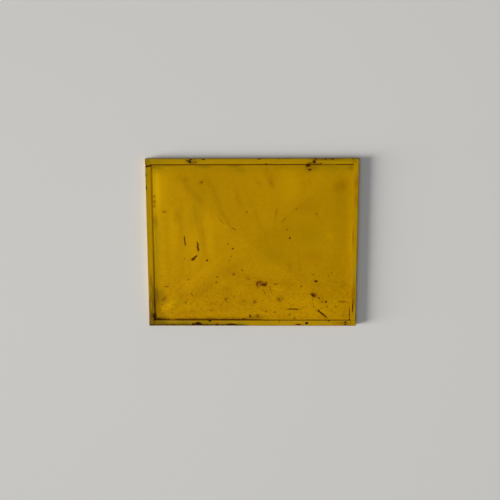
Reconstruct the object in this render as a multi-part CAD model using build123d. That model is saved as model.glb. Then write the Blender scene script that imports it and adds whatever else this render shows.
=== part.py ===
from build123d import *
import os

# A steel sheet, creased from corner to corner, welded behind a frame of four steel
# angle bars. It lies face up: width along X, height along Y, thickness along Z.
# The origin is under the middle of the panel, on the plane that the bars rest on.
# Sizes are in millimetres.

# Outer size of the frame
panel_width = 960.0
panel_height = 775.0

# Rolled angle bar with equal legs: one leg faces up, the other stands at the outer edge
leg_width = 25.0
leg_thickness = 3.0
root_radius = 3.5
toe_radius = 2.0

# Each bar starts coped under the bar before it and runs out to the next corner.
# Three corners are tight. The left bar's face leg is cut askew and leaves an open joint.
joint_gap = 0.5
open_joint_inner = 3.0
open_joint_outer = 9.0

# Sheet under the face legs, between the upright legs, and the height of its crown
sheet_thickness = 2.0
sheet_side_clearance = 0.5
crown_rise = 12.0

# Bolt holes in pairs through the face leg and the sheet's margin
hole_radius = 5.0
top_hole_spacing = 556.0
bottom_hole_spacing = 502.0
hole_line_from_edge = 14.5

# Heights and places that follow from the sizes above
face_height = leg_width
seat_height = face_height - leg_thickness
sheet_inset = leg_thickness + root_radius + sheet_side_clearance


def angle_section():
    """The bar's section: inward distance from the outer edge, then height."""
    corners = [
        (0, 0),
        (leg_thickness, 0),
        (leg_thickness, seat_height),
        (leg_width, seat_height),
        (leg_width, face_height),
        (0, face_height),
    ]
    radii = [0, toe_radius, root_radius, toe_radius, 0, 0]
    outline = FilletPolyline(*corners, radius=radii, close=True)
    return make_face(Plane.YZ * outline)


def cope():
    """What is cut from a bar's start, so that it fits under the bar before it."""
    start = leg_thickness + joint_gap
    end = leg_width + joint_gap
    ceiling = seat_height - joint_gap
    corners = [
        (-leg_width, -leg_width),
        (start, -leg_width),
        (start, ceiling),
        (end, ceiling),
        (end, 2 * face_height),
        (-leg_width, 2 * face_height),
    ]
    radii = [0, 0, root_radius - joint_gap, 0, 0, 0]
    outline = FilletPolyline(*corners, radius=radii, close=True)
    profile = make_face(Plane.XZ * outline)
    return extrude(profile, amount=leg_width, both=True)


def face_leg_end(gap_outer, gap_inner):
    """What is cut from the face leg's start, square or askew, to open the joint."""
    corners = [
        (0, 0),
        (leg_width + gap_outer, 0),
        (leg_width + gap_inner, leg_width),
        (0, leg_width),
    ]
    profile = make_face(Polyline(*corners, close=True))
    block = extrude(profile, amount=leg_thickness + joint_gap)
    return Pos(0, 0, seat_height - joint_gap) * block


def frame_bar(side_length, gap_outer=joint_gap, gap_inner=joint_gap):
    """One bar along +X from its corner, with its outer edge on the X axis."""
    bar = extrude(angle_section(), amount=side_length)
    return bar - cope() - face_leg_end(gap_outer, gap_inner)


def crowned_sheet():
    """A flat margin under the face legs and four facets that rise to the middle."""
    edge_x = panel_width / 2 - sheet_inset
    edge_y = panel_height / 2 - sheet_inset
    crease_x = panel_width / 2 - leg_width
    crease_y = panel_height / 2 - leg_width

    def rectangle(half_x, half_y, height):
        signs = [(-1, -1), (1, -1), (1, 1), (-1, 1)]
        return [(sx * half_x, sy * half_y, height) for sx, sy in signs]

    def polygon(points):
        return Wire.make_polygon(points, close=True)

    def surface(height):
        margin = Face(polygon(rectangle(edge_x, edge_y, height)),
                      [polygon(rectangle(crease_x, crease_y, height))])
        foot = rectangle(crease_x, crease_y, height)
        peak = (0, 0, height + crown_rise)
        facets = [Face(polygon([foot[i - 1], foot[i], peak])) for i in range(4)]
        return [margin] + facets

    upper = rectangle(edge_x, edge_y, seat_height)
    lower = rectangle(edge_x, edge_y, seat_height - sheet_thickness)
    sides = [Face(polygon([lower[i - 1], lower[i], upper[i], upper[i - 1]]))
             for i in range(4)]
    skins = surface(seat_height) + surface(seat_height - sheet_thickness)
    return Solid(Shell(skins + sides))


def hole_pair(spacing, y):
    """Two round tools for the holes of one side."""
    drill = Cylinder(hole_radius, 3 * face_height)
    return [Pos(x, y, seat_height) * drill for x in (-spacing / 2, spacing / 2)]


half_width = panel_width / 2
half_height = panel_height / 2

# Each side's bar starts at one corner and runs round the frame the same way
top_bar = Pos(half_width, half_height) * Rot(Z=180) * frame_bar(panel_width)
right_bar = Pos(half_width, -half_height) * Rot(Z=90) * frame_bar(panel_height)
bottom_bar = Pos(-half_width, -half_height) * frame_bar(panel_width)
left_bar = (Pos(-half_width, half_height) * Rot(Z=-90)
            * frame_bar(panel_height, open_joint_outer, open_joint_inner))

top_holes = hole_pair(top_hole_spacing, half_height - hole_line_from_edge)
bottom_holes = hole_pair(bottom_hole_spacing, hole_line_from_edge - half_height)

nodes = {
    "face_sheet": crowned_sheet() - top_holes - bottom_holes,
    "top_bar": top_bar - top_holes,
    "right_bar": right_bar,
    "bottom_bar": bottom_bar - bottom_holes,
    "left_bar": left_bar,
}

os.makedirs("parts", exist_ok=True)
for name, shape in nodes.items():
    export_step(shape, f"parts/{name}.step")
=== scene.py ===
import math

import bpy
from mathutils import Matrix, Vector, noise


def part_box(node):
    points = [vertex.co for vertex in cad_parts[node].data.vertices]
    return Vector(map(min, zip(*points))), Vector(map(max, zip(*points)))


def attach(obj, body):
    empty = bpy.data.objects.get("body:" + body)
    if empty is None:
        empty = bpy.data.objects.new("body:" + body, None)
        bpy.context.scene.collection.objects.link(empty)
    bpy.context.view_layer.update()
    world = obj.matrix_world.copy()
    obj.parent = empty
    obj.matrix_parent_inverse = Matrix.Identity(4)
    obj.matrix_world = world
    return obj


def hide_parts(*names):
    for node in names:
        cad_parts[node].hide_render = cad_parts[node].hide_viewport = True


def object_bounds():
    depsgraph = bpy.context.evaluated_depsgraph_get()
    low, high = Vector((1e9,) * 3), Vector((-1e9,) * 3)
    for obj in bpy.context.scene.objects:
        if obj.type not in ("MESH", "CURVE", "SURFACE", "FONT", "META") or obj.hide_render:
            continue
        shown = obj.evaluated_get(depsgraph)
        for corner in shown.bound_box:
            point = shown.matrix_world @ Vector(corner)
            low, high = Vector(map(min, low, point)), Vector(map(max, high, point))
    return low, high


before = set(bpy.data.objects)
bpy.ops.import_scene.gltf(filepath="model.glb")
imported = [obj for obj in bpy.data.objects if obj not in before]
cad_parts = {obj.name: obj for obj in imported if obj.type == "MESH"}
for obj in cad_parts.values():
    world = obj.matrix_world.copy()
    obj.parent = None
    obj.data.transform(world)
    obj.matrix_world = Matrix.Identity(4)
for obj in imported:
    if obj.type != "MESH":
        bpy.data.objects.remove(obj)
cad_low, cad_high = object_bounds()

# The view and the light
# The panel lies face up on a pale floor. The camera stands to it as the photograph's
# camera stood to the leaning panel, and most of the light comes from its upper left.
camera_place = Vector((0.0385, 0.6206, 3.5079))
camera_aim = Vector((-0.0099, -0.0287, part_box("top_bar")[1].z))
camera_roll = math.radians(-0.16)
focal_length_in_pixels = 775.2
picture_width_in_pixels = 500
sensor_width_mm = 36.0

camera_data = bpy.data.cameras.new("photo_camera")
camera_data.sensor_width = sensor_width_mm
camera_data.lens = focal_length_in_pixels / picture_width_in_pixels * sensor_width_mm
camera = bpy.data.objects.new("photo_camera", camera_data)
bpy.context.collection.objects.link(camera)
backward = (camera_place - camera_aim).normalized()
rightward = Vector((0, 1, 0)).cross(backward).normalized()
upward = backward.cross(rightward)
turned = Matrix((rightward, upward, backward)).transposed().to_4x4()
camera.matrix_world = (Matrix.Translation(camera_place) @ turned
                       @ Matrix.Rotation(camera_roll, 4, "Z"))
bpy.context.scene.camera = camera
bpy.context.scene.view_settings.view_transform = "Standard"


def studio_light(name, kind, place, settings):
    """A studio light of one kind at a place, shining towards the middle of the floor."""
    light = bpy.data.lights.new(name, kind)
    for setting, value in settings.items():
        setattr(light, setting, value)
    lamp = bpy.data.objects.new(name, light)
    bpy.context.collection.objects.link(lamp)
    lamp.location = place
    lamp.rotation_euler = place.to_track_quat("Z", "Y").to_euler()


studio_light("overhead_light", "AREA", Vector((-1.0, -0.6, 4.4)),
             {"shape": "SQUARE", "size": 2.2, "energy": 20, "color": (1.0, 0.99, 0.97)})
low_light_height = math.radians(14)
low_light_turn = math.radians(10)
low_light_place = Vector((-math.cos(low_light_height) * math.cos(low_light_turn),
                          -math.cos(low_light_height) * math.sin(low_light_turn),
                          math.sin(low_light_height)))
studio_light("low_side_light", "SUN", low_light_place,
             {"angle": math.radians(26), "energy": 6.0, "color": (1.0, 0.97, 0.92)})

world = bpy.data.worlds.new("studio_air")
world.use_nodes = True
glow = world.node_tree.nodes["Background"]
glow.inputs["Color"].default_value = (0.93, 0.96, 1.0, 1)
glow.inputs["Strength"].default_value = 0.22
bpy.context.scene.world = world

floor_half_width = 40.0
corner_signs = [(-1, -1), (1, -1), (1, 1), (-1, 1)]
floor_corners = [(x * floor_half_width, y * floor_half_width, 0) for x, y in corner_signs]
floor_mesh = bpy.data.meshes.new("studio_floor")
floor_mesh.from_pydata(floor_corners, [], [(0, 1, 2, 3)])
floor = bpy.data.objects.new("studio_floor", floor_mesh)
bpy.context.collection.objects.link(floor)
floor_paint = bpy.data.materials.new("pale_floor")
floor_paint.use_nodes = True
floor_shader = floor_paint.node_tree.nodes["Principled BSDF"]
floor_shader.inputs["Base Color"].default_value = (0.74, 0.735, 0.72, 1)
floor_shader.inputs["Roughness"].default_value = 0.75
floor_mesh.materials.append(floor_paint)

# The four bars
# Rolled steel angle with equal legs, one leg facing up and one at the outer edge. Each
# bar is coped under the bar before it, runs out to the next corner and is welded there.
leg_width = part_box("left_bar")[1].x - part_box("left_bar")[0].x
face_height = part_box("top_bar")[1].z
leg_thickness = 0.003
root_radius = 0.0035
toe_radius = 0.002
heel_radius = 0.0008
cut_edge_radius = 0.0003
joint_gap = 0.0005
open_joint_outer = 0.009
open_joint_inner = 0.003
seat_height = face_height - leg_thickness
panel_width = cad_high.x - cad_low.x
panel_height = cad_high.y - cad_low.y
half_width = panel_width / 2
half_height = panel_height / 2
hole_radius = 0.005
hole_line_from_edge = 0.0145
top_hole_spacing = 0.556
bottom_hole_spacing = 0.502
hole_sides = 40
bar_station = 0.005
section_step = 0.004
roll_waviness = 0.00025
long_waves_a_metre = 45
short_waves_a_metre = 160
tool_overshoot = leg_width / 3


def rounded_outline(corners, arc_steps=5):
    """Points round an outline whose corners are (a, b, radius)."""
    points = []
    for index, (a, b, radius) in enumerate(corners):
        corner = Vector((a, b))
        if radius == 0:
            points.append(corner)
            continue
        before = (Vector(corners[index - 1][:2]) - corner).normalized()
        after = (Vector(corners[(index + 1) % len(corners)][:2]) - corner).normalized()
        half_angle = before.angle(after) / 2
        centre = corner + (before + after).normalized() * (radius / math.sin(half_angle))
        start = corner + before * (radius / math.tan(half_angle)) - centre
        end = corner + after * (radius / math.tan(half_angle)) - centre
        sweep_angle = start.angle(end)
        for step in range(arc_steps + 1):
            share = step / arc_steps
            spoke = (start * math.sin((1 - share) * sweep_angle)
                     + end * math.sin(share * sweep_angle)) / math.sin(sweep_angle)
            points.append(centre + spoke)
    return points


def divided(points, step):
    """The same closed outline with its long straight runs cut into short ones."""
    result = []
    for index, start in enumerate(points):
        end = points[(index + 1) % len(points)]
        parts = max(1, round((end - start).length / step))
        result += [start.lerp(end, part / parts) for part in range(parts)]
    return result


def prism(name, outline, place, stations):
    """A closed mesh: place(point, station) puts each outline point at each station."""
    count = len(outline)
    vertices = [place(point, station) for station in stations for point in outline]
    faces = []
    for lap in range(len(stations) - 1):
        for index in range(count):
            other = (index + 1) % count
            low = lap * count
            high = low + count
            faces.append((low + index, low + other, high + other, high + index))
    faces.append(tuple(reversed(range(count))))
    faces.append(tuple(range(len(vertices) - count, len(vertices))))
    mesh = bpy.data.meshes.new(name)
    mesh.from_pydata(vertices, [], faces)
    mesh.validate()
    piece = bpy.data.objects.new(name, mesh)
    bpy.context.collection.objects.link(piece)
    bpy.context.view_layer.objects.active = piece
    bpy.ops.object.mode_set(mode="EDIT")
    bpy.ops.mesh.select_all(action="SELECT")
    bpy.ops.mesh.normals_make_consistent(inside=False)
    bpy.ops.object.mode_set(mode="OBJECT")
    return piece


def cut_away(piece, tools):
    """Saws and drills the tools' shapes out of the piece, then throws the tools away."""
    for tool in tools:
        saw = piece.modifiers.new(tool.name, "BOOLEAN")
        saw.operation = "DIFFERENCE"
        saw.solver = "EXACT"
        saw.object = tool
    graph = bpy.context.evaluated_depsgraph_get()
    mesh = bpy.data.meshes.new_from_object(piece.evaluated_get(graph))
    piece.modifiers.clear()
    piece.data = mesh
    for tool in tools:
        bpy.data.objects.remove(tool)


def smooth_faces(piece, crease_degrees=32):
    """Smooth shading with crisp edges where the faces turn sharply."""
    piece.data.polygons.foreach_set("use_smooth", [True] * len(piece.data.polygons))
    piece.data.set_sharp_from_angle(angle=math.radians(crease_degrees))
    piece.data.update()


def ring(sides):
    """The points of a round outline of radius 1."""
    turns = [2 * math.pi * k / sides for k in range(sides)]
    return [Vector((math.cos(turn), math.sin(turn))) for turn in turns]


def drill(name, x, y):
    """A round tool for one bolt hole, standing at a place on the panel."""
    outline = [point * hole_radius for point in ring(hole_sides)]
    return prism(name, outline, lambda point, z: (x + point.x, y + point.y, z),
                 [seat_height - tool_overshoot, face_height + tool_overshoot])


def rolled_bar(name, length):
    """A straight bar from the origin along X, with its outer edge on the X axis."""
    section = rounded_outline([
        (0, 0, 0),
        (leg_thickness, 0, toe_radius),
        (leg_thickness, seat_height, root_radius),
        (leg_width, seat_height, toe_radius),
        (leg_width, face_height, cut_edge_radius),
        (0, face_height, heel_radius),
    ])
    spans = round(length / bar_station)
    return prism(name, divided(section, section_step), lambda point, x: (x, point.x, point.y),
                 [length * k / spans for k in range(spans + 1)])


def cope_tool(name):
    """What is sawn from a bar's start, so that it fits under the bar before it."""
    start = leg_thickness + joint_gap
    end = leg_width + joint_gap
    ceiling = seat_height - joint_gap
    beyond = leg_width * 2
    outline = rounded_outline([
        (-beyond, -beyond, 0),
        (start, -beyond, 0),
        (start, ceiling, root_radius - joint_gap),
        (end, ceiling, 0),
        (end, beyond, 0),
        (-beyond, beyond, 0),
    ])
    return prism(name, outline, lambda point, y: (point.x, y, point.y),
                 [-tool_overshoot, leg_width + tool_overshoot])


def askew_tool(name, gap_outer, gap_inner):
    """What is sawn from a face leg's start, so that the joint stands open and askew."""
    start = leg_width - tool_overshoot
    slope = (gap_inner - gap_outer) / leg_width
    outline = [Vector((start, -tool_overshoot)),
               Vector((leg_width + gap_outer - slope * tool_overshoot, -tool_overshoot)),
               Vector((leg_width + gap_inner + slope * tool_overshoot, leg_width + tool_overshoot)),
               Vector((start, leg_width + tool_overshoot))]
    return prism(name, outline, lambda point, z: (point.x, point.y, z),
                 [seat_height - joint_gap, face_height + tool_overshoot])


def add_roll_waves(bar, axis, outer):
    """Sinks the upper face, and the outer face across axis 0 or 1, in waves that never rise."""
    for vertex in bar.data.vertices:
        waves = (noise.noise(vertex.co * long_waves_a_metre)
                 + 0.5 * noise.noise(vertex.co * short_waves_a_metre))
        depth = roll_waviness * (0.5 + 0.33 * waves)
        if vertex.co.z > face_height - heel_radius:
            vertex.co.z -= depth
        if abs(vertex.co[axis]) > outer - heel_radius:
            vertex.co[axis] -= math.copysign(depth, vertex.co[axis])


def make_bar(name, corner, angle, length, gap_outer=joint_gap, gap_inner=joint_gap, holes=()):
    """One angle bar: rolled, coped at its start, laid along its side and drilled."""
    bar = rolled_bar(name, length)
    saws = [cope_tool(name + "_cope")]
    if gap_outer > joint_gap:
        saws.append(askew_tool(name + "_askew_cut", gap_outer, gap_inner))
    cut_away(bar, saws)
    bar.data.transform(Matrix.Translation(corner) @ Matrix.Rotation(angle, 4, "Z"))
    if holes:
        cut_away(bar, [drill(f"{name}_drill_{k}", x, y) for k, (x, y) in enumerate(holes)])
    lies_along_x = abs(math.cos(angle)) > 0.5
    if lies_along_x:
        add_roll_waves(bar, axis=1, outer=half_height)
    else:
        add_roll_waves(bar, axis=0, outer=half_width)
    smooth_faces(bar)
    return bar


top_holes = [(x, half_height - hole_line_from_edge)
             for x in (-top_hole_spacing / 2, top_hole_spacing / 2)]
bottom_holes = [(x, hole_line_from_edge - half_height)
                for x in (-bottom_hole_spacing / 2, bottom_hole_spacing / 2)]
bars = {
    "top_bar": make_bar("painted_top_bar", (half_width, half_height, 0), math.pi,
                        panel_width, holes=top_holes),
    "right_bar": make_bar("painted_right_bar", (half_width, -half_height, 0), math.pi / 2,
                          panel_height),
    "bottom_bar": make_bar("painted_bottom_bar", (-half_width, -half_height, 0), 0,
                           panel_width, holes=bottom_holes),
    "left_bar": make_bar("painted_left_bar", (-half_width, half_height, 0), -math.pi / 2,
                         panel_height, open_joint_outer, open_joint_inner),
}


class Film:
    """A value or colour in a paint's nodes. Sums on it add Math nodes; | joins two masks."""

    def __init__(self, tree, socket=None):
        self.tree = tree
        self.socket = socket

    def node(self, kind, settings, sockets, output=0):
        """Adds a node: its settings first, then the values or links of its sockets."""
        made = self.tree.nodes.new("ShaderNode" + kind)
        for name, value in settings.items():
            setattr(made, name, value)
        for name, value in sockets.items():
            if isinstance(value, Film):
                self.tree.links.new(value.socket, made.inputs[name])
            else:
                made.inputs[name].default_value = value
        return Film(self.tree, made.outputs[output])

    def beside(self, output):
        """Another output of the node that this one comes from."""
        return Film(self.tree, self.socket.node.outputs[output])

    def math(self, operation, first, second=0.0):
        return self.node("Math", {"operation": operation}, {0: first, 1: second})

    def __add__(self, other):
        return self.math("ADD", self, other)

    def __radd__(self, other):
        return self.math("ADD", other, self)

    def __sub__(self, other):
        return self.math("SUBTRACT", self, other)

    def __rsub__(self, other):
        return self.math("SUBTRACT", other, self)

    def __mul__(self, other):
        return self.math("MULTIPLY", self, other)

    def __rmul__(self, other):
        return self.math("MULTIPLY", other, self)

    def __truediv__(self, other):
        return self.math("DIVIDE", self, other)

    def __rtruediv__(self, other):
        return self.math("DIVIDE", other, self)

    def __or__(self, other):
        return self.math("MAXIMUM", self, other)

    def __ror__(self, other):
        return self.math("MAXIMUM", other, self)

    def __abs__(self):
        return self.math("ABSOLUTE", self)

    def nearer(self, other):
        """The smaller of two distances."""
        return self.math("MINIMUM", self, other)

    def ramp(self, low, high):
        """0 below low, 1 above high and smooth between; low may be the greater one."""
        return self.node("MapRange", {"interpolation_type": "SMOOTHSTEP"},
                         {"Value": self, "From Min": low, "From Max": high})

    def axes(self):
        """The three coordinates of a place."""
        split = self.node("SeparateXYZ", {}, {"Vector": self})
        return [split.beside(axis) for axis in "XYZ"]

    def grain(self, scale, detail=2.0, stretch=(1, 1, 1), roughness=0.5):
        """Noise from 0 to 1 at a place, with scale bumps a metre, drawn out by stretch."""
        drawn = self.node("Mapping", {"vector_type": "TEXTURE"}, {"Vector": self, "Scale": stretch})
        return self.node("TexNoise", {}, {"Vector": drawn, "Scale": scale, "Detail": detail,
                                          "Roughness": roughness}, "Fac")

    def shaken(self, reach, scale):
        """The place, moved about by up to reach, so that edges drawn on it are ragged."""
        cloud = self.node("TexNoise", {}, {"Vector": self, "Scale": scale, "Detail": 3.0}, "Color")
        centred = self.node("VectorMath", {"operation": "SUBTRACT"}, {0: cloud, 1: (0.5, 0.5, 0.5)})
        moved = self.node("VectorMath", {"operation": "SCALE"}, {0: centred, "Scale": reach})
        return self.node("VectorMath", {"operation": "ADD"}, {0: self, 1: moved})

    def blots(self, marks, soft=0.25, depth=1.0):
        """A mask of oval marks, each (x, y, length, width, turn in degrees), in millimetres
        from the panel's lower left corner. Over an edge they reach down by half the depth."""
        mask = None
        for x, y, length, width, turn in marks:
            centre = (cad_low.x + x / 1000, cad_low.y + y / 1000, face_height)
            size = (length / 1000, width / 1000, depth)
            spot = self.node("Mapping", {"vector_type": "TEXTURE"},
                             {"Vector": self, "Location": centre, "Scale": size,
                              "Rotation": (0, 0, math.radians(turn))})
            mound = self.node("TexGradient", {"gradient_type": "SPHERICAL"}, {0: spot}, "Fac")
            mask = mound if mask is None else mask | mound
        return mask.ramp(0.5 - soft / 2, 0.5 + soft / 2)

    def colour(self, low, high):
        """The low colour where this mask is 0, the high one where it is 1, mixed between."""
        # A Mix node's colours are its sockets 6 and 7 and its output 2
        return self.node("Mix", {"data_type": "RGBA"}, {0: self, 6: low, 7: high}, 2)

    def tinted(self, mask, colour):
        """This colour, going over to another where the mask is 1."""
        return mask.colour(self, colour)

    def shade(self, gain):
        """This colour, made lighter or darker by a factor that changes over the surface."""
        return self.node("VectorMath", {"operation": "SCALE"}, {0: self, "Scale": gain})


def new_paint(name):
    """A new material, and the place on the panel that its films start from."""
    material = bpy.data.materials.new(name)
    material.use_nodes = True
    return material, Film(material.node_tree).node("TexCoord", {}, {}, "Object")


gold_sheen = (1.0, 0.62, 0.015, 1)
sheen_level = 0.36


def finish_paint(material, colour, roughness, relief, depth):
    """Puts the films of colour, roughness and relief on a material. A relief of 1 is depth high."""
    shader = material.node_tree.nodes["Principled BSDF"]
    shader.inputs["Specular Tint"].default_value = gold_sheen
    shader.inputs["Specular IOR Level"].default_value = sheen_level
    bump = relief.node("Bump", {}, {"Height": relief, "Distance": depth, "Strength": 1.0})
    for name, film in (("Base Color", colour), ("Roughness", roughness), ("Normal", bump)):
        material.node_tree.links.new(film.socket, shader.inputs[name])


# Linear red, green and blue of the paint, the dirt and the rust, some of which also colour painted
# shade
bar_yellow = (0.56, 0.315, 0.0008, 1)
dull_bar_yellow = (0.44, 0.252, 0.0008, 1)
olive_film_and_shade = (0.30, 0.215, 0.0012, 1)
grime_and_shade = (0.07, 0.036, 0.003, 1)
rust_brown = (0.185, 0.048, 0.0004, 1)
dark_rust_and_shadow = (0.072, 0.009, 0.0002, 1)
rust_black = (0.034, 0.008, 0.0002, 1)
thin_paint = (0.42, 0.28, 0.025, 1)
rust_stain = (0.36, 0.135, 0.0006, 1)

worn_bar_paint, bar_place = new_paint("worn_bar_paint")
ragged_bar = bar_place.shaken(reach=0.0026, scale=240)
bar_x, bar_y, bar_z = bar_place.axes()
# Chips through the paint to dark rust, along the edges and round the holes
bar_chips = ragged_bar.blots([
    (190, 765, 13, 5, -33), (200, 764, 15, 8, 0), (206, 771, 10, 8, 0), (202, 758, 10, 8, 0),
    (228, 759, 5, 8, 0), (263, 771, 15, 6, 0), (512, 773, 13, 5, 0), (601, 774, 10, 4, 0),
    (543, 751, 10, 4, 0), (759, 761, 13, 13, 0), (766, 771, 8, 6, 0), (733, 748, 18, 9, 0),
    (788, 752, 6, 5, 0), (810, 772, 13, 7, 0), (827, 773, 6, 5, 0), (840, 772, 11, 7, 0),
    (932, 774, 10, 5, 0), (957, 772, 6, 5, 0), (1.5, 702, 8, 13, 0), (2, 645, 8, 19, 0),
    (12, 740.8, 28, 8, 8), (21, 743.6, 14, 7, 16), (0, 112, 6, 26, 0), (0, 20, 6, 34, 0),
    (22, 45, 9, 32, 8), (24, 30, 9, 12, 0), (60, 0, 24, 8, 0), (80, 2, 26, 9, 0),
    (110, 1, 50, 11, 0), (150, 0, 40, 9, 0), (178, 1, 26, 10, 0), (205, 7, 14, 12, 0),
    (221, 13, 16, 8, 20), (236, 9, 12, 17, 20), (226, 2, 60, 11, 0), (266, 1, 34, 9, 0),
    (283, 24, 15, 10, 0), (318, 4, 13, 13, 0), (300, 0, 30, 6, 0), (382, 3, 50, 16, 0),
    (346, 1, 40, 9, 0), (232, 5, 34, 16, 0), (411, 27, 9, 5, 0), (733, 12.5, 16, 11, 25),
    (694, 6, 20, 7, 0), (913, 17, 14, 7, 0), (911, 7, 8, 7, 0), (835, 23, 8, 6, 0),
    (960, 40, 5, 36, 0), (649, 28, 8, 5, 0), (945, 88, 5, 44, 2), (930, 56, 3, 54, 0),
], soft=0.25, depth=0.014)
# Brown rust that has crept out from the chips and along the lower edges
bar_rust = ragged_bar.blots([
    (205, 763, 44, 22, 0), (605, 19, 4, 14, 0), (695, 5, 40, 14, 0), (944, 110, 8, 110, 0),
    (946, 180, 4, 120, 0), (742, 751, 40, 16, 0), (26, 110, 8, 170, 0), (759, 760, 20, 20, 0),
    (940, 26, 40, 5, 0), (512, 773, 20, 6, 0), (830, 773, 60, 6, 0), (1, 672, 7, 80, 0),
    (16, 60, 22, 120, 0), (544, 749, 70, 5, 0), (386, 3, 50, 12, 0), (232, 6, 60, 16, 0),
    (912, 12, 40, 22, 0), (952, 150, 6, 120, 0), (935, 40, 12, 70, 0), (13, 110, 26, 180, 0),
    (8, 40, 20, 90, 0),
], soft=0.6, depth=0.03)
# Faint rusty stains
bar_stains = ragged_bar.blots([
    (949, 670, 17, 60, 0), (948, 588, 12, 60, 0), (941, 150, 12, 70, 0), (939, 420, 8, 70, 0),
    (13, 215, 11, 44, 0), (330, 12, 60, 14, 0), (878, 14, 50, 12, 0),
], soft=0.9, depth=0.03)
# Olive films, where dirt has dulled the yellow
bar_olive = ragged_bar.blots([
    (11, 760, 28, 34, 0), (55, 760, 60, 22, 0), (12, 712, 18, 60, 0), (10, 45, 14, 40, 0),
    (70, 14, 50, 16, 0), (158, 15, 50, 16, 0), (260, 14, 60, 18, 0), (362, 14, 50, 16, 0),
    (425, 12, 50, 14, 0), (12, 150, 18, 90, 0), (14, 90, 18, 60, 0), (885, 768, 110, 13, 0),
    (956, 590, 7, 70, 0),
], soft=0.8, depth=0.03)
# Soft dark grime in the corners and along the bottom bar
bar_grime = ragged_bar.blots([
    (14, 100, 30, 220, 0), (20, 60, 16, 110, 0), (70, 8, 150, 20, 0), (200, 8, 200, 22, 0),
    (350, 4, 160, 12, 0), (12, 16, 40, 40, 0), (945, 100, 8, 100, 0), (925, 10, 60, 26, 0),
    (12, 764, 30, 26, 0), (212, 764, 50, 24, 0), (800, 770, 120, 12, 0), (938, 764, 20, 30, 0),
    (770, 751, 100, 12, 0),
], soft=0.9, depth=0.04)
# Pale rubs, where the paint is thin
bar_wear = ragged_bar.blots([
    (4, 150, 5, 56, 2), (10, 108, 8, 40, -3), (16, 78, 9, 50, 5), (19, 40, 8, 40, -6),
    (8, 30, 8, 34, 8), (60, 20, 40, 6, 3), (120, 20, 50, 6, 0), (176, 19, 50, 7, -4),
    (196, 16, 24, 10, 0), (345, 16, 60, 9, 0), (430, 18, 60, 6, 0), (556, 15, 26, 16, 0),
    (912, 24, 60, 5, 0), (640, 18, 90, 7, 0), (948, 240, 9, 90, 0), (953, 120, 6, 60, 0),
    (30, 770, 40, 6, 0), (945, 690, 8, 50, 0), (8, 190, 6, 60, 0), (820, 16, 90, 6, 0),
    (54, 21, 26, 7, 0), (93, 19, 34, 8, 0), (140, 21, 22, 7, 0), (172, 21, 34, 7, 0),
    (18, 37, 8, 44, 14), (12, 14, 12, 14, 0), (14, 98, 7, 22, 0), (15, 76, 6, 40, 0),
    (11, 26, 14, 9, 0), (116, 13, 16, 7, 0), (150, 14, 18, 7, 0), (60, 13, 18, 7, 0),
], soft=0.6, depth=0.02)
# Distances in from the outer edges
inwards_x = half_width - abs(bar_x)
inwards_top = half_height - bar_y
inwards_bottom = half_height + bar_y
upright_bar = inwards_x.ramp(leg_width + 0.0006, leg_width + 0.0001)
# Brush marks along each bar, and the coarse and fine grain of the paint
streaks_across = bar_place.grain(150, detail=3, stretch=(9, 1, 1))
streaks_upright = bar_place.grain(150, detail=3, stretch=(1, 9, 1))
brushed = streaks_across + (streaks_upright - streaks_across) * upright_bar
streaky = bar_place.grain(70, detail=3, stretch=(0.35, 0.35, 1))
blotchy = bar_place.grain(14, detail=3)
fine = bar_place.grain(420)
# Parts of the bars that wear and get dirty in their own way, with painted shade along their outer edges
# and a painted shadow along the foot
nearest_edge = inwards_x.nearer(inwards_top)
inner_edge = abs(inwards_x - leg_width).ramp(0.0016, 0.0004) * bar_x.ramp(0.3, 0.4)
by_the_face = bar_z.ramp(face_height - 0.007, face_height - 0.001)
by_the_floor = bar_z.ramp(0.005, 0.0004)
outer_edge = nearest_edge.ramp(0.0045, 0.0005) | inwards_bottom.ramp(0.0025, 0)
outer_edge = outer_edge * (by_the_face | 0.85 * by_the_floor)
# Painted shade along the outer edges, stronger on the face
outer_shade = nearest_edge.ramp(0.014, 0) * (0.4 + 0.6 * by_the_face)
outer_side = nearest_edge.nearer(inwards_bottom).ramp(0.0012, 0.0005)
ground_side = inwards_bottom.ramp(0.0014, 0.0005)
foot_rust = inwards_bottom.ramp(0.019, 0.001) * bar_x.ramp(0.02, -0.12) * (0.35 + 0.65 * by_the_face)
lower_part = bar_y.ramp(0.1, -0.36)
left_part = bar_x.ramp(0, -0.1)
low_left = upright_bar * left_part * bar_y.ramp(-0.16, -0.27)
low_corner = (inwards_x + inwards_bottom).ramp(0.13, 0.04) * left_part
ragged_foot = inwards_bottom + 0.009 * (streaky - 0.5)
by_either = by_the_face | by_the_floor
foot_black = ragged_foot.ramp(0.0064, 0.0044) * bar_x.ramp(-0.01, -0.06) * by_either
# A painted contact shadow along the foot, which also stands for dirt there
foot_shadow_and_dirt = ragged_foot.ramp(0.0030, 0.0012) * by_either
edge_chipping = (outer_edge * (streaky + blotchy * 0.6 + lower_part * 0.25)).ramp(0.86, 1.02)
# Coats, from the oldest to the newest
paint_depth = (0.42 + 1.1 * (blotchy - 0.5) + 0.9 * (brushed - 0.5)
               + 0.3 * lower_part * bar_x.ramp(-0.2, 0.3) + 0.12 * bar_x.ramp(0.44, 0.456))
bar_colour = paint_depth.colour(dull_bar_yellow, bar_yellow)
bar_colour = bar_colour.shade(0.88 + 0.24 * streaky)
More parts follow.
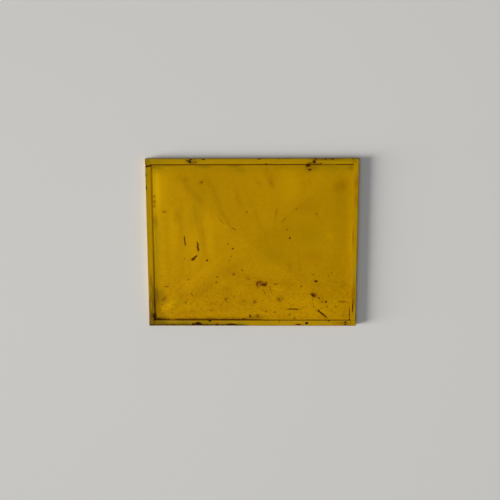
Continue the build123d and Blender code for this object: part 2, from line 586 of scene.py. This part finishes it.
# Painted shade, olive, along the outer edges
bar_colour = bar_colour.tinted(outer_shade * (0.15 + 0.5 * blotchy), olive_film_and_shade)
bar_colour = bar_colour.tinted(bar_olive * (0.2 + 0.6 * brushed) | low_left * 0.4, olive_film_and_shade)
bar_colour = bar_colour.tinted(bar_stains * (0.3 + 0.6 * brushed), rust_stain)
bar_colour = bar_colour.tinted(low_left * (0.05 + 0.25 * brushed), grime_and_shade)
bar_colour = bar_colour.tinted(outer_edge * (0.2 + 0.45 * blotchy), grime_and_shade)
bar_colour = bar_colour.tinted(inner_edge * (0.3 + 0.5 * blotchy), grime_and_shade)
bar_colour = bar_colour.tinted((bar_wear * streaky).ramp(0.24, 0.46) * 0.68, thin_paint)
bar_colour = bar_colour.tinted(bar_grime * (brushed + blotchy - 0.5).ramp(0.25, 0.7) * 0.55, grime_and_shade)
bar_colour = bar_colour.tinted(foot_rust * (0.05 + 0.76 * streaky), grime_and_shade)
bar_colour = bar_colour.tinted(bar_rust * (0.5 * blotchy + 0.6 * brushed).ramp(0.35, 0.75) * 0.8,
                               rust_brown)
side_scuffs = ((brushed + blotchy - 0.5) + 0.16 * ground_side).ramp(0.62, 0.72)
bar_colour = bar_colour.tinted(outer_side * (0.1 + 0.35 * blotchy), olive_film_and_shade)
bar_colour = bar_colour.tinted(outer_side * side_scuffs * 0.7, rust_brown)
bar_colour = bar_colour.tinted(edge_chipping * 0.8, rust_brown)
bar_colour = bar_colour.tinted(low_corner * (0.2 + 0.6 * brushed), grime_and_shade)
# Painted contact shadow and dirt along the foot
bar_colour = bar_colour.tinted(foot_shadow_and_dirt * 0.75, dark_rust_and_shadow)
bar_colour = bar_colour.tinted(foot_black * 0.92, rust_black)
bar_colour = bar_colour.tinted(bar_chips, rust_black)
bar_chipped = bar_chips | foot_black | edge_chipping | outer_side * side_scuffs
bar_roughness = 0.42 + 0.12 * blotchy + 0.4 * bar_chipped
bar_relief = 0.25 * fine + 0.4 * streaky - bar_chipped
finish_paint(worn_bar_paint, bar_colour, bar_roughness, bar_relief, depth=0.00022)

for node, bar in bars.items():
    bar.data.materials.clear()
    bar.data.materials.append(worn_bar_paint)
    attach(bar, "root")
    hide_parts(node)

# The sheet
# One steel sheet, creased from corner to corner on a folding machine so that it stands
# crowned and stiff. Its flat margin is welded to the undersides of the bars.
sheet_low, sheet_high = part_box("face_sheet")
sheet_thickness = 0.002
crown_rise = sheet_high.z - seat_height
crease_softness = 0.02
corner_softness = 0.07
sheet_grid = 0.008
opening_x = half_width - leg_width
opening_y = half_height - leg_width
slack_depth = 0.00035
slack_waves_across = 5.5
slack_waves_upright = 4.0
slack_margin = 0.06
swell_height = 0.0016
swell_rise = (0.002, 0.038)
swell_fall = (0.03, 0.40)
swell_ends = (0.01, 0.09)
swell_low_share = 0.45
swell_growth = (-0.05, 0.12)
dip_depth = 0.0005
dip_fall = (0, 0.03)
dip_rise = (0.03, 0.09)
dip_ends = (0.02, 0.12)


def smooth(value, low, high):
    """0 below low, 1 above high and a soft rise between."""
    share = max(0, min(1, (value - low) / (high - low)))
    return share * share * (3 - 2 * share)


def facets(x, y):
    """Height of the four facets. Their creases are rounded, and more so at the corners."""
    across = 1 - abs(x) / opening_x
    upright = 1 - abs(y) / opening_y
    softness = crease_softness + corner_softness * (1 - min(across, upright)) ** 3
    closeness = max(0, softness - abs(across - upright)) / softness
    return crown_rise * max(0, min(across, upright) - closeness ** 2 * softness / 4)


def slack(x, y):
    """The wide, shallow waves of a sheet that isn't pulled tight."""
    settled = smooth(min(opening_x - abs(x), opening_y - abs(y)), 0, slack_margin)
    waves = noise.noise(Vector((x * slack_waves_across, y * slack_waves_upright, 0.3)))
    return slack_depth * waves * settled


def left_swell(x, y):
    """The long bulge beside the left bar, which is fuller in its upper half."""
    from_left = opening_x + x
    band = smooth(from_left, *swell_rise) * (1 - smooth(from_left, *swell_fall))
    fullness = swell_low_share + (1 - swell_low_share) * smooth(y, *swell_growth)
    return swell_height * band * fullness * smooth(opening_y - abs(y), *swell_ends)


def right_dip(x, y):
    """The narrow hollow beside the right bar."""
    from_right = opening_x - x
    band = smooth(from_right, *dip_fall) * (1 - smooth(from_right, *dip_rise))
    return dip_depth * band * smooth(opening_y - abs(y), *dip_ends)


def crown(x, y):
    """Height of the sheet above its flat margin."""
    if abs(x) >= opening_x or abs(y) >= opening_y:
        return 0
    height = facets(x, y) + slack(x, y) + left_swell(x, y) - right_dip(x, y)
    return min(crown_rise, max(0, height))


columns = round((sheet_high.x - sheet_low.x) / sheet_grid)
rows = round((sheet_high.y - sheet_low.y) / sheet_grid)


def sheet_spot(column, row):
    """Where a grid point of the sheet lies on the panel."""
    return (sheet_low.x + (sheet_high.x - sheet_low.x) * column / columns,
            sheet_low.y + (sheet_high.y - sheet_low.y) * row / rows)


# Two skins of a grid, and the faces round the edge that join them
spots = [sheet_spot(column, row) for row in range(rows + 1) for column in range(columns + 1)]
upper = [(x, y, seat_height + crown(x, y)) for x, y in spots]
lower = [(x, y, z - sheet_thickness) for x, y, z in upper]
skin_size = len(spots)
sheet_faces = []
for row in range(rows):
    for column in range(columns):
        corner = row * (columns + 1) + column
        above = corner + columns + 1
        sheet_faces.append((corner, corner + 1, above + 1, above))
        sheet_faces.append((skin_size + above, skin_size + above + 1,
                            skin_size + corner + 1, skin_size + corner))
rim = list(range(columns))
rim += [columns + row * (columns + 1) for row in range(rows)]
rim += [rows * (columns + 1) + column for column in range(columns, 0, -1)]
rim += [row * (columns + 1) for row in range(rows, 0, -1)]
for index, here in enumerate(rim):
    onward = rim[(index + 1) % len(rim)]
    sheet_faces.append((onward, here, skin_size + here, skin_size + onward))
sheet_mesh = bpy.data.meshes.new("creased_sheet")
sheet_mesh.from_pydata(upper + lower, [], sheet_faces)
sheet = bpy.data.objects.new("creased_sheet", sheet_mesh)
bpy.context.collection.objects.link(sheet)
cut_away(sheet, [drill(f"sheet_drill_{k}", x, y)
                 for k, (x, y) in enumerate(top_holes + bottom_holes)])
smooth_faces(sheet, crease_degrees=60)

# Linear red, green and blue of the sheet's own paint and dirt, and of its painted highlights
sunny_yellow = (0.63, 0.338, 0.0004, 1)
dull_yellow = (0.43, 0.218, 0.0004, 1)
stain_brown = (0.25, 0.10, 0.0006, 1)
highlight_yellow = (0.76, 0.44, 0.0004, 1)
orange_film = (0.60, 0.265, 0.0004, 1)
damp_brown = (0.115, 0.058, 0.0003, 1)
highlight_orange = (0.86, 0.36, 0.0004, 1)

worn_sheet_paint, sheet_place = new_paint("worn_sheet_paint")
ragged_sheet = sheet_place.shaken(reach=0.0028, scale=230)
drifting = sheet_place.shaken(reach=0.03, scale=14)
sheet_x, sheet_y, _ = sheet_place.axes()
# Chips and scratches through the paint to dark rust
dark_chips = ragged_sheet.blots([
    (232, 388, 7, 20, 22), (231, 377, 8, 19, -16), (234, 363, 9.5, 22, 0), (210, 317, 20, 14, 25),
    (219, 326, 26, 9.5, 38), (652, 415, 9, 9, 0), (392, 366, 9, 8, 0), (731, 743, 21, 12, 0),
    (739, 725, 18, 9, 0), (503, 198, 6, 28, 4), (536, 196, 20, 13, -10), (511, 209, 12, 6, 0),
    (524, 198, 12, 6, 0), (518, 213, 7, 5, 0), (545, 207, 6, 6, 0), (774, 213, 17, 11, 0),
    (761, 147, 28, 16.5, -42), (821, 115, 9, 11.5, 0), (805, 57, 58, 8.6, -39),
    (788, 71, 13, 10, -40), (821, 43, 9, 8, -35), (670, 80, 64, 6, 0), (470, 46, 9, 17, 0),
    (438, 33, 13, 6, 0), (172, 409, 6, 32, 4), (174, 390, 6, 24, 4), (274, 311, 7, 12, 0),
    (789, 133, 7, 10, -30), (931, 57, 4, 58, 0), (930, 30, 8, 6, 0),
], soft=0.45)
# Shallower chips and scratches, brown rather than black
brown_chips = ragged_sheet.blots([
    (395, 247, 17, 12, 0), (434, 266, 11, 9, 0), (524, 206, 30, 14, -10), (545, 202, 12, 20, 0),
    (603, 126, 12, 17, 25), (491, 114, 16, 18, 0), (359, 128, 13, 14, 0), (505, 46, 15, 18, 0),
    (463, 225, 24, 5, -20), (536, 160, 5, 30, 24), (565, 171, 4, 28, 16), (522, 202, 44, 24, -8),
    (640, 453, 9, 8, 0), (398, 457, 22, 6, -32), (369, 389, 9, 8, 0), (83, 187, 27, 7, 4),
    (201, 150, 19, 6, -55), (82, 535, 18, 8, -15), (254, 669, 13, 9, 10), (319, 234, 13, 8, 0),
    (315, 206, 9, 12, 0), (188, 222, 13, 6, 0), (288, 73, 14, 7, 0), (758, 125, 8, 8, 0),
    (804, 113, 10, 8, 0), (827, 92, 9, 10, 0), (867, 92, 8, 13, 30), (896, 115, 34, 8, 0),
    (845, 252, 8, 6, 0), (831, 235, 7, 7, 0), (708, 190, 10, 8, 0), (762, 244, 13, 5, 0),
    (938, 162, 3, 60, 0), (764, 92, 5, 10, 0), (653, 52, 14, 8, 0), (677, 36, 14, 10, 0),
    (545, 67, 14, 7, 0), (586, 65, 14, 7, 0), (457, 535, 8, 12, 0), (681, 548, 9, 6, 0),
    (773, 525, 8, 11, 0), (172, 111, 9, 8, 0), (384, 329, 7, 7, 0), (376, 313, 7, 7, 0),
    (170, 318, 7, 7, 0), (588, 200, 22, 8, 0), (590, 535, 3.6, 38, -16), (774, 150, 30, 6, -50),
    (341, 494, 34, 3.4, -50), (626, 500, 34, 3, 48),
], soft=0.6)
# Brown smudges round the chips
smudges = drifting.blots([
    (250, 668, 36, 18, 20), (359, 128, 40, 34, 0), (900, 196, 30, 36, 0), (777, 196, 40, 20, 0),
    (492, 116, 60, 40, 20), (525, 203, 120, 60, -20), (450, 230, 90, 26, -25),
    (37, 146, 18, 60, 0), (68, 124, 50, 36, 40), (147, 155, 40, 60, 0), (443, 112, 56, 32, 0),
    (511, 81, 80, 24, 0), (655, 290, 20, 60, 0), (790, 130, 60, 40, -40), (366, 165, 40, 40, 0),
    (844, 728, 70, 26, 0), (733, 733, 54, 40, -30), (564, 672, 46, 22, -68), (545, 727, 16, 50, 0),
    (412, 730, 70, 40, -20), (180, 681, 30, 26, 0), (508, 660, 50, 18, -60),
    (877, 650, 60, 40, 30), (640, 735, 130, 18, 0), (136, 517, 24, 60, 0),
], soft=0.8)
# Dark hazes in the corners and along the bars
hazes = ragged_sheet.blots([
    (50, 738, 52, 15, -14), (34, 740, 26, 22, 0), (37, 146, 20, 66, 0), (68, 124, 34, 24, 45),
    (760, 735, 44, 26, 0), (268, 742, 60, 16, 0), (62, 157, 26, 30, 0), (40, 490, 20, 46, 0),
    (500, 41, 70, 22, 0), (95, 745, 100, 12, 0), (928, 735, 34, 26, 0), (50, 745, 60, 18, 0),
    (780, 745, 110, 12, 0), (400, 742, 56, 10, 0), (608, 129, 30, 26, 25), (735, 735, 34, 28, 0),
    (30, 250, 10, 200, 0), (72, 130, 28, 15, 45), (62, 143, 16, 9, 30), (48, 745, 50, 12, 0),
], soft=0.9)
# Soft dark spots beside the left bar
damp_spots = ragged_sheet.blots([
    (38, 605, 12, 14, 0), (38, 581, 15, 17, 0), (37, 561, 12, 13, 0), (71, 129, 25, 10, 48),
], soft=0.7)
# Rusty stains
sheet_stains = ragged_sheet.blots([
    (565, 688, 24, 56, 6), (574, 656, 16, 36, 20), (880, 655, 62, 50, 20), (700, 560, 120, 60, 0),
    (255, 672, 34, 18, 20), (760, 330, 90, 50, 0), (330, 90, 120, 40, 0), (180, 60, 90, 24, 0),
    (640, 200, 60, 40, 0),
], soft=0.95)
# Olive films
sheet_olive = ragged_sheet.blots([
    (848, 718, 92, 58, 0), (884, 735, 50, 26, 0), (448, 110, 44, 34, 0), (430, 722, 50, 16, 0),
    (880, 600, 60, 90, 0), (52, 728, 50, 26, -20), (750, 430, 110, 90, 0), (560, 330, 120, 60, 0),
    (230, 560, 40, 160, -20), (130, 110, 60, 40, 0), (450, 76, 60, 20, 0), (148, 691, 20, 22, 0),
    (39, 450, 24, 150, 0), (136, 517, 30, 60, 0),
], soft=0.95)
# Wide strokes and patches of duller paint, with painted shade on the facet below the lower left crease
dull_streaks_and_painted_shade = drifting.blots([
    (217, 620, 165, 24, -55), (308, 627, 150, 22, -66), (157, 517, 170, 20, 88),
    (252, 448, 170, 18, -84), (589, 510, 76, 7, 75), (699, 290, 140, 10, -84),
    (350, 520, 190, 16, -62), (228, 500, 230, 12, -80), (420, 600, 150, 18, -70),
    (500, 520, 190, 14, -66), (787, 500, 60, 9, -55), (800, 505, 70, 7, 60),
    (330, 225, 260, 34, 38), (250, 165, 160, 26, 38), (118, 620, 60, 120, 0),
    (196, 300, 120, 12, 88),
], soft=0.75)
# Wide strokes and patches of sunnier paint, with painted light on the facet above the lower left crease
# and in a band beside the right bar
sunny_streaks_and_painted_light = drifting.blots([
    (120, 470, 300, 40, 90), (208, 340, 240, 60, 92), (60, 320, 400, 34, 90),
    (833, 421, 26, 24, 0), (650, 660, 200, 70, -86), (290, 400, 200, 30, -84),
    (66, 636, 44, 170, 0), (90, 640, 110, 190, 0), (90, 86, 80, 36, 42), (220, 230, 250, 50, 38),
    (120, 50, 180, 30, 0), (350, 60, 160, 30, 0), (700, 110, 160, 50, 0), (710, 60, 220, 34, 0),
    (460, 90, 300, 90, 0), (185, 100, 150, 50, 20), (290, 85, 90, 40, 0), (930, 400, 20, 230, 0),
    (868, 105, 60, 60, 0), (330, 215, 60, 50, 0), (388, 88, 60, 40, 0), (412, 169, 56, 44, 0),
    (184, 61, 70, 34, 0), (592, 178, 56, 34, 0), (760, 85, 44, 32, 0), (546, 50, 46, 20, 0),
], soft=0.95)
# A painted highlight beside the left bar and along the lower left crease
painted_highlight_band = ragged_sheet.blots([
    (54, 636, 26, 170, 0), (56, 606, 18, 70, 0), (52, 690, 16, 60, 0), (98, 101, 70, 26, 38),
], soft=0.9)
# Brush marks from top to bottom, and the grain of the paint from coarse to fine
lengthwise = drifting.grain(55, detail=4, stretch=(0.28, 1.6, 1), roughness=0.6)
cloudy = sheet_place.grain(5, detail=4)
mottled = sheet_place.grain(75, detail=4, roughness=0.65)
blotched = sheet_place.grain(42, detail=3, roughness=0.6)
speckled = sheet_place.grain(105, detail=3, stretch=(1.2, 0.9, 1), roughness=0.6)
peel = sheet_place.grain(380)
lower_third = sheet_y.ramp(0.02, -0.26)
underside = sheet_place.node("TexCoord", {}, {}, "Normal").axes()[2].ramp(-0.2, -0.6)
in_sight = 1 - underside
# Fine specks, strewn thinly, more of them low on the sheet
speck_cells = sheet_place.node("TexVoronoi", {}, {"Vector": ragged_sheet, "Scale": 62.0}, "Distance")
speck_draw = speck_cells.beside("Color").axes()[0]
speck_reach = (speck_draw - 0.965 + 0.17 * lower_third) * 1.3
speck_mask = (speck_reach - speck_cells).ramp(-0.03, 0.03) * speck_reach.ramp(0, 0.01)
# Distances from the opening in the frame, and the dirt in the gap along it
to_side = opening_x - abs(sheet_x)
to_end = opening_y - abs(sheet_y)
left_half = sheet_x.ramp(0.1, -0.1)
upper_half = sheet_y.ramp(0, 0.1)
lower_half = sheet_y.ramp(0, -0.1)
ragged_gap = 0.0022 * (mottled - 0.5)
ragged_end = to_end + ragged_gap
side_dirt = (to_side + ragged_gap).ramp(0.0032, 0.0006) * left_half * sheet_y.ramp(-0.12, -0.26)
# Painted light beside the left bar, which lifts the shadow that the bar casts on the sheet, with a
# darker olive shoulder next to it that is painted shade and dirt
painted_light_left = to_side.ramp(0.0145, 0.009) * left_half * sheet_y.ramp(-0.28, -0.2) * in_sight
painted_light_by_left_bar = painted_light_left * to_side.ramp(0.0075, 0.0045)
shoulder_length = sheet_y.ramp(-0.3, -0.22) * (0.25 + 0.75 * sheet_y.ramp(0.14, 0.04))
left_shoulder_shade_and_dirt = to_side.ramp(0.055, 0.018) * to_side.ramp(0.008, 0.015) * left_half * shoulder_length
# The dark lines under the top and bottom bars, with their cleaner stretches. The line under the top bar
# is painted shadow as well as dirt
clean_stretch = sheet_x.ramp(0.302, 0.312) * sheet_x.ramp(0.385, 0.372)
top_length = sheet_x.ramp(0.462, 0.452) * (0.92 - 0.32 * clean_stretch)
top_shadow_and_dirt = ragged_end.ramp(0.0066, 0.0036) * upper_half * top_length
bottom_reach = 0.0050 + 0.0030 * sheet_x.ramp(0.08, -0.05)
worn_stretch = abs(sheet_x + 0.372).ramp(0.016, 0.008)
bottom_length = (0.45 + 0.4 * sheet_x.ramp(0.12, -0.05)) * (1 - 0.6 * worn_stretch)
bottom_dirt = (ragged_end - bottom_reach).ramp(0.0018, -0.0018) * lower_half * bottom_length
# Painted shade and dirt that darken the sheet near the top bar and near the bottom bar on the left, and
# dirt in the creases and corners
top_shade_and_dirt = to_end.ramp(0.055, 0) * upper_half
bottom_shade_and_dirt = to_end.ramp(0.024, 0.004) * lower_half * left_half
crease_gap = abs(abs(sheet_x) / opening_x - abs(sheet_y) / opening_y)
crease_line = crease_gap.ramp(0.0075, 0.0015) * lengthwise.ramp(0.35, 0.6)
corner_dirt = ragged_sheet.blots([
    (27, 47, 15, 44, 4), (38, 31, 44, 12, 0), (27, 84, 5, 90, 0), (731, 745, 18, 10, 0),
], soft=0.5)
left_haze = drifting.blots([
    (38, 122, 30, 108, 0), (46, 46, 56, 46, 0), (40, 80, 30, 80, 0),
], soft=0.8)
under_bars = to_side.ramp(0, -0.002) | to_end.ramp(0, -0.002)

# Coats, from the oldest to the newest
# The tone holds painted light and shade along the lower left crease and beside the right bar, besides
# the paint's own changes
tone = (0.5 + 0.5 * (cloudy - 0.5) + 0.3 * (lengthwise - 0.5) + 0.25 * (mottled - 0.5)
        + 0.35 * (blotched - 0.5) - 0.38 * dull_streaks_and_painted_shade * lengthwise.ramp(0.2, 0.7)
        + 0.34 * sunny_streaks_and_painted_light + 0.06 * sheet_x.ramp(0.1, 0.3))
sheet_colour = tone.colour(dull_yellow, sunny_yellow)
sheet_colour = sheet_colour.shade(0.93 + 0.14 * mottled)
# Painted highlight beside the left bar and on the lower left crease
sheet_colour = sheet_colour.tinted(painted_highlight_band * 0.6, highlight_yellow)
sheet_colour = sheet_colour.tinted(blotched.ramp(0.5, 0.3) * (0.12 + 0.4 * lower_third), orange_film)
sheet_colour = sheet_colour.tinted(crease_line * (0.10 + 0.14 * sheet_x.ramp(-0.05, 0.05)), stain_brown)
# Painted light beside the left bar, brightest next to it, then painted shade with dirt on the shoulder
# beyond
sheet_colour = sheet_colour.tinted(painted_light_left, highlight_yellow)
sheet_colour = sheet_colour.tinted(painted_light_by_left_bar, highlight_orange)
sheet_colour = sheet_colour.tinted(left_shoulder_shade_and_dirt * (0.3 + 0.25 * mottled), olive_film_and_shade)
sheet_colour = sheet_colour.tinted(sheet_stains * (0.05 + 0.4 * mottled), rust_stain)
sheet_colour = sheet_colour.tinted(sheet_olive * (0.05 + 0.35 * blotched), olive_film_and_shade)
sheet_colour = sheet_colour.tinted(hazes * (0.15 + 0.4 * mottled), grime_and_shade)
sheet_colour = sheet_colour.tinted(damp_spots * 0.56, damp_brown)
sheet_colour = sheet_colour.tinted(smudges * mottled.ramp(0.3, 0.75) * 0.45, stain_brown)
sheet_colour = sheet_colour.tinted(left_haze * 0.42, grime_and_shade)
# Painted shade and dirt near the top bar, and near the bottom bar on the left
sheet_colour = sheet_colour.tinted(top_shade_and_dirt * (0.1 + 0.35 * blotched.ramp(0.35, 0.7)), olive_film_and_shade)
sheet_colour = sheet_colour.tinted(bottom_shade_and_dirt * (0.15 + 0.6 * blotched.ramp(0.35, 0.65)), grime_and_shade)
sheet_colour = sheet_colour.tinted(lower_third * speckled.ramp(0.47, 0.72) * 0.62, rust_stain)
sheet_colour = sheet_colour.tinted(speck_mask * 0.5, stain_brown)
# Dark lines beside the bars; the one under the top bar is a painted shadow as well as dirt
sheet_colour = sheet_colour.tinted((side_dirt | top_shadow_and_dirt | bottom_dirt) * in_sight, dark_rust_and_shadow)
sheet_colour = sheet_colour.tinted(brown_chips * (0.42 + 0.5 * mottled), rust_brown)
sheet_colour = sheet_colour.tinted(dark_chips * 0.96, dark_rust_and_shadow)
sheet_colour = sheet_colour.tinted(corner_dirt * in_sight, rust_black)
sheet_colour = sheet_colour.tinted(under_bars * in_sight, rust_black)
# The back has plain dull paint, with rust near the bars
back_rust = underside * (to_side.nearer(to_end) + 0.03 * (blotched - 0.5)).ramp(0.03, -0.012)
sheet_colour = sheet_colour.tinted(underside, dull_yellow)
sheet_colour = sheet_colour.tinted(underside * blotched.ramp(0.3, 0.7) * 0.5, sunny_yellow)
sheet_colour = sheet_colour.tinted(underside * (0.12 + 0.4 * cloudy.ramp(0.35, 0.7)), olive_film_and_shade)
sheet_colour = sheet_colour.tinted(back_rust * (0.2 + 0.6 * mottled.ramp(0.4, 0.65)), rust_brown)
sheet_chipped = in_sight * (dark_chips | 0.5 * brown_chips | 0.5 * speck_mask)
sheet_roughness = 0.36 + 0.14 * lengthwise + 0.35 * sheet_chipped
sheet_relief = 0.3 * peel + 0.6 * lengthwise - sheet_chipped
finish_paint(worn_sheet_paint, sheet_colour, sheet_roughness, sheet_relief, depth=0.0002)

sheet.data.materials.clear()
sheet.data.materials.append(worn_sheet_paint)
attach(sheet, "root")
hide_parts("face_sheet")

# The welds
# Beads of weld metal under the same paint. One bridges the open joint at the upper left
# and lies on the sheet's margin there, short stitches hold the margin from behind, and
# one stands in each back corner.
stitch_length = 0.032
stitch_radius = 0.0030
stitches_across = 6
stitches_upright = 5
corner_bead_radius = 0.0026
joint_bead_radius = 0.0030
joint_bead_flatness = 0.6
joint_bead_depth = 0.0024
joint_bead_reach = (0.0085, 0.0235)
bead_sides = 14
ripple_pitch = 0.0021
ripple_bow = 0.4
ripple_share = 0.07
lump_share = 0.14
lumps_a_metre = 220
bare_end_share = 0.01
steps_a_ripple = 5
sheet_side_clearance = 0.0005
sheet_inset = leg_thickness + root_radius + sheet_side_clearance


def weld_bead(name, start, end, radius, sideways, depthways):
    """A rippled bead of weld metal from start to end, with the two directions it spans."""
    start = Vector(start)
    end = Vector(end)
    length = (end - start).length
    forward = (end - start).normalized()

    def place(point, station):
        from_middle = 2 * station / length - 1
        taper = (1 - from_middle ** 6) ** 0.5
        bow = ripple_bow * radius * point.x ** 2
        crest = math.sin(2 * math.pi * (station + bow) / ripple_pitch)
        lump = noise.noise((start + forward * station) * lumps_a_metre)
        reach = radius * taper * (1 + ripple_share * crest + lump_share * lump)
        return start + forward * station + (sideways * point.x + depthways * point.y) * reach

    steps = round(length / ripple_pitch * steps_a_ripple)
    stations = [length * (bare_end_share + (1 - 2 * bare_end_share) * k / steps)
                for k in range(steps + 1)]
    bead = prism(name, ring(bead_sides), place, stations)
    smooth_faces(bead, crease_degrees=60)
    return bead


def joined(name, beads):
    """One piece made of several beads."""
    with bpy.context.temp_override(active_object=beads[0], selected_editable_objects=beads):
        bpy.ops.object.join()
    beads[0].name = name
    return beads[0]


across = Vector((1, 0, 0))
upright = Vector((0, 1, 0))
out_of_sheet = Vector((0, 0, 1))
seam_inset = (leg_thickness + sheet_inset) / 2
seam_depth = 0.0015

# Stitches along both long and both short edges of the margin
stitches = []
for sign in (-1, 1):
    for along, sideways, count, length, to_seam in (
            (across, upright, stitches_across, panel_width, half_height - seam_inset),
            (upright, across, stitches_upright, panel_height, half_width - seam_inset)):
        for k in range(count):
            middle = (along * ((k + 0.5) / count - 0.5) * length + sideways * sign * to_seam
                      + out_of_sheet * (seat_height - seam_depth))
            half_stitch = along * stitch_length / 2
            stitches.append(weld_bead(f"stitch_{len(stitches)}", middle - half_stitch,
                                      middle + half_stitch, stitch_radius, sideways, out_of_sheet))

# One bead upright in each back corner
corner_inset = leg_thickness + joint_gap
corner_foot = 0.0015
corner_head = 0.019
corner_beads = []
for sign_x, sign_y in corner_signs:
    x = sign_x * (half_width - corner_inset)
    y = sign_y * (half_height - corner_inset)
    corner_beads.append(weld_bead(f"corner_{len(corner_beads)}", (x, y, corner_foot),
                                  (x, y, corner_head), corner_bead_radius, across, upright))

# The bead in the open joint, along the middle of its width
joint_bead_ends = []
for inward in joint_bead_reach:
    joint_width = open_joint_outer + (open_joint_inner - open_joint_outer) * inward / leg_width
    joint_bead_ends.append((inward - half_width, half_height - leg_width - joint_width / 2,
                            face_height - joint_bead_depth))
joint_bead = weld_bead("open_joint_weld", *joint_bead_ends, joint_bead_radius, upright,
                       joint_bead_flatness * out_of_sheet)

all_welds = [joined("margin_stitch_welds", stitches), joined("back_corner_welds", corner_beads),
             joint_bead]
for welds in all_welds:
    welds.data.materials.clear()
    welds.data.materials.append(worn_bar_paint)
    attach(welds, "root")
